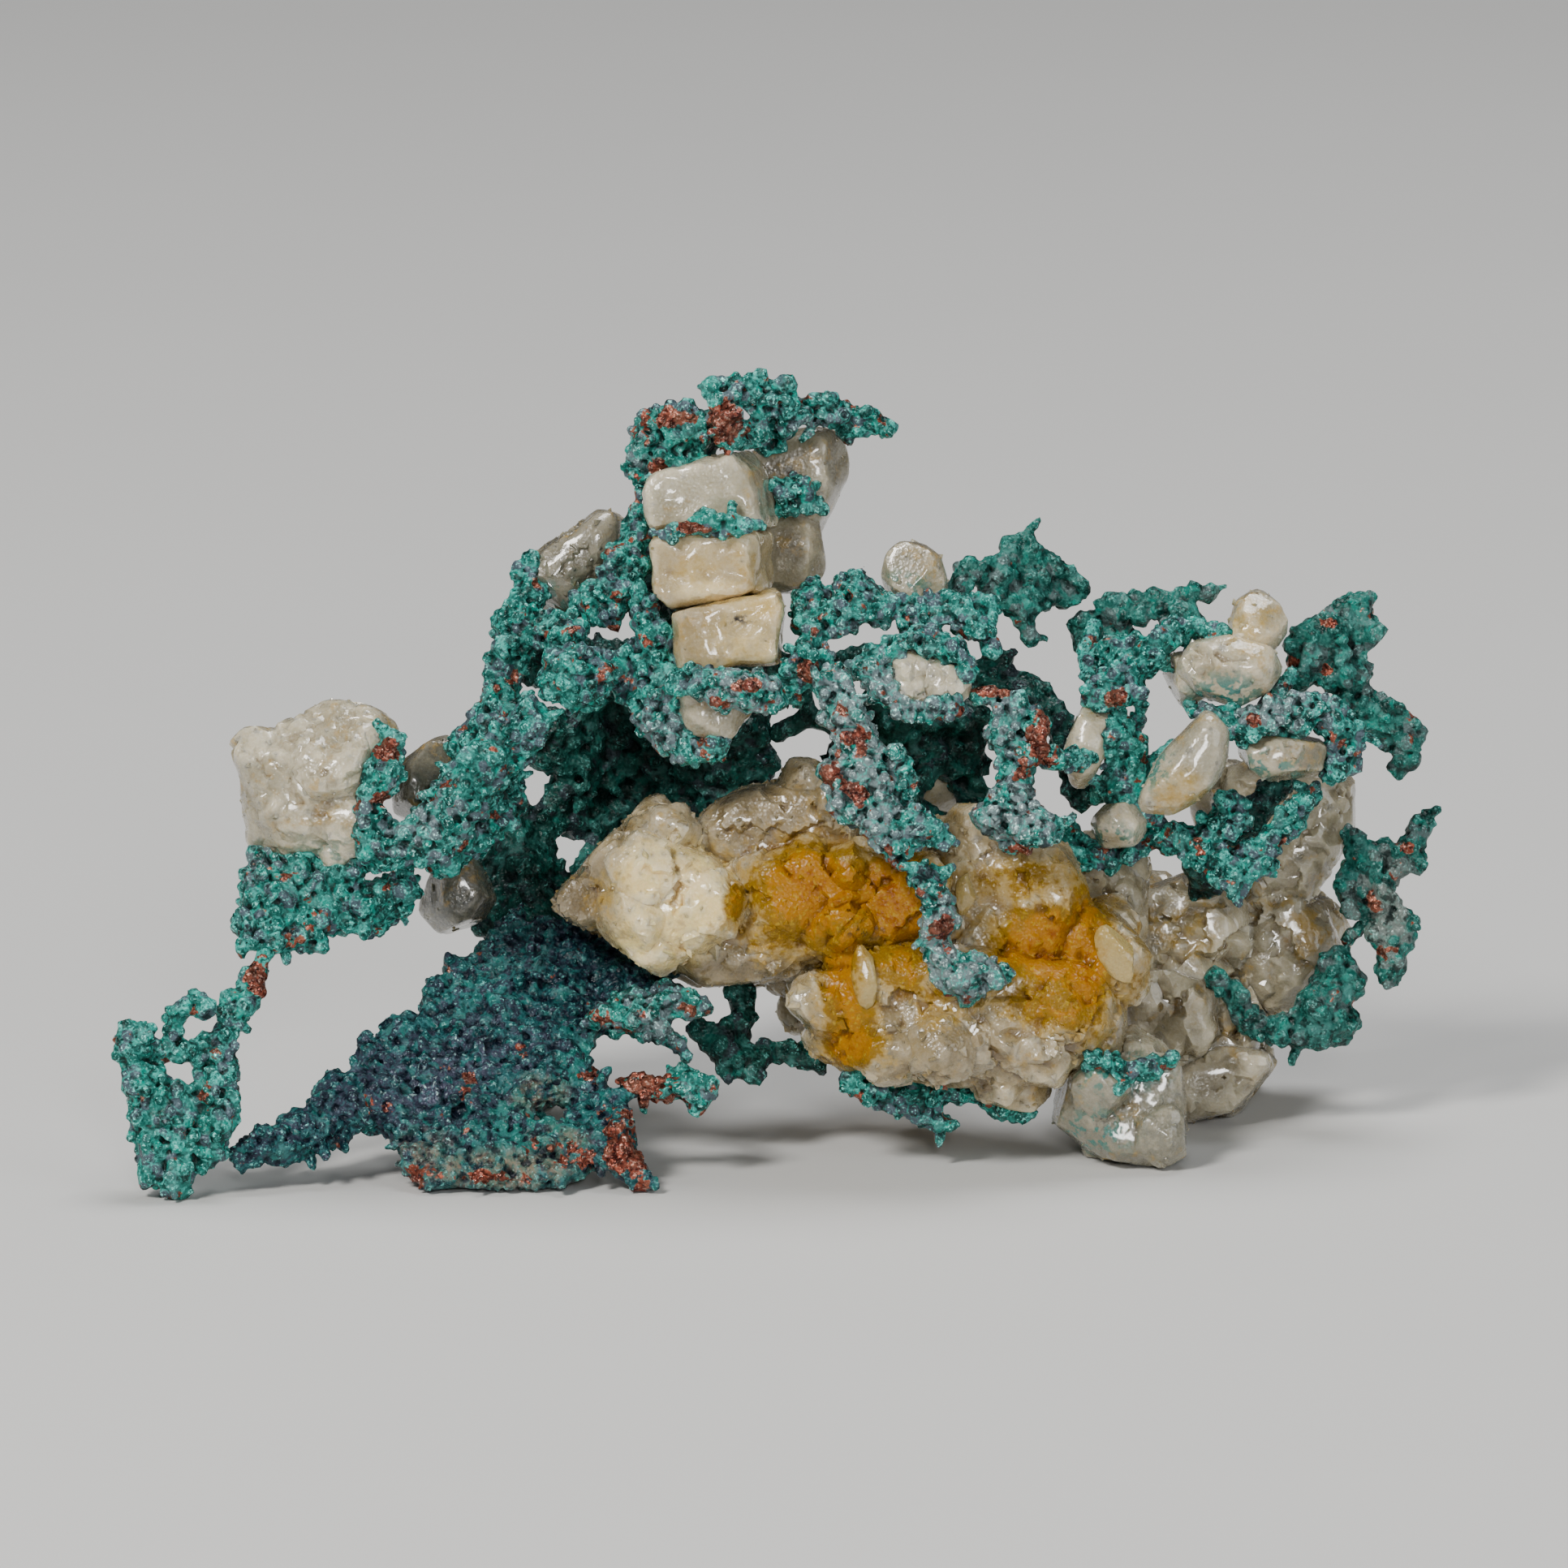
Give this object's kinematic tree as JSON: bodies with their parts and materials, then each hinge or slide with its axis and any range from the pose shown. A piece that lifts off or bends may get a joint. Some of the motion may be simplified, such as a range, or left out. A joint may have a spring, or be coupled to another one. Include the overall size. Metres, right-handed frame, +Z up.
{
  "type": "native copper on quartz",
  "caption": "Small mineral specimen: branching native copper, green with verdigris, grown over and between blocks of milky, iron-stained quartz.",
  "frame": {"origin": "middle of the specimen's length and depth, on the surface it rests on", "axes": "+X along the specimen's length, to the right as the picture shows it; +Y away from the viewer; +Z up"},
  "size_m": [0.0489, 0.0216, 0.0288],
  "materials": {
    "copper_green": "rough crystallised copper with green verdigris",
    "copper_mint": "rough crystallised copper with pale mint verdigris",
    "copper_blue": "rough crystallised copper with blue-grey verdigris",
    "copper_dark": "rough crystallised copper with dark green verdigris",
    "quartz_milky": "milky translucent quartz, glassy on the crystal faces",
    "quartz_yellow": "milky quartz with a pale yellow tinge",
    "quartz_stained": "milky quartz with yellow and orange iron stain",
    "quartz_grey": "greyish translucent quartz"
  },
  "bodies": {
    "root": {"arch_crystal_hanging": "quartz_grey", "arch_crystal_rear": "quartz_grey", "copper_back_foot": "copper_dark", "copper_back_ridge_left": "copper_dark", "copper_back_ridge_right": "copper_dark", "copper_back_wall_left": "copper_dark", "copper_back_wall_right": "copper_dark", "copper_base_sprig": "copper_dark", "copper_canopy_ridge": "copper_green", "copper_crown_left": "copper_green", "copper_crown_top": "copper_green", "copper_crown_tuft": "copper_green", "copper_foot_sprig": "copper_green", "copper_front_branch": "copper_green", "copper_front_branch_tip": "copper_green", "copper_leaf": "copper_blue", "copper_leaf_lower_prong": "copper_green", "copper_leaf_upper_prong": "copper_green", "copper_left_arm": "copper_green", "copper_left_cradle": "copper_green", "copper_left_foot": "copper_green", "copper_loop": "copper_green", "copper_right_base": "copper_mint", "copper_right_branch": "copper_mint", "copper_right_lower": "copper_mint", "copper_second_branch": "copper_green", "copper_shoulder_front": "copper_green", "copper_shoulder_inner": "copper_green", "copper_shoulder_outer": "copper_green", "copper_spiky_bridge": "copper_mint", "copper_spiky_sheet": "copper_mint", "copper_thicket_left": "copper_green", "copper_thicket_lower": "copper_green", "copper_thicket_middle": "copper_green", "copper_thicket_root": "copper_dark", "copper_thicket_upper": "copper_green", "copper_tower_band": "copper_green", "copper_tower_seam": "copper_green", "copper_tower_side": "copper_green", "copper_tower_spine": "copper_dark", "copper_under_quartz": "copper_green", "crown_crystal_right": "quartz_grey", "left_crystal": "quartz_milky", "loop_crystal": "quartz_milky", "perched_crystal": "quartz_milky", "quartz_foot_right": "quartz_milky", "quartz_matrix_back": "quartz_grey", "quartz_matrix_front": "quartz_stained", "rear_crystal_left": "quartz_milky", "rear_crystal_right": "quartz_milky", "shoulder_crystal": "quartz_grey", "thicket_crystal_blade": "quartz_milky", "thicket_crystal_oval": "quartz_grey", "thicket_crystal_slender": "quartz_milky", "thicket_crystal_small": "quartz_milky", "thicket_crystal_top": "quartz_milky", "tower_crystal_foot": "quartz_milky", "tower_crystal_lower": "quartz_yellow", "tower_crystal_middle": "quartz_yellow", "tower_crystal_top": "quartz_milky"}
  },
  "joints": []
}
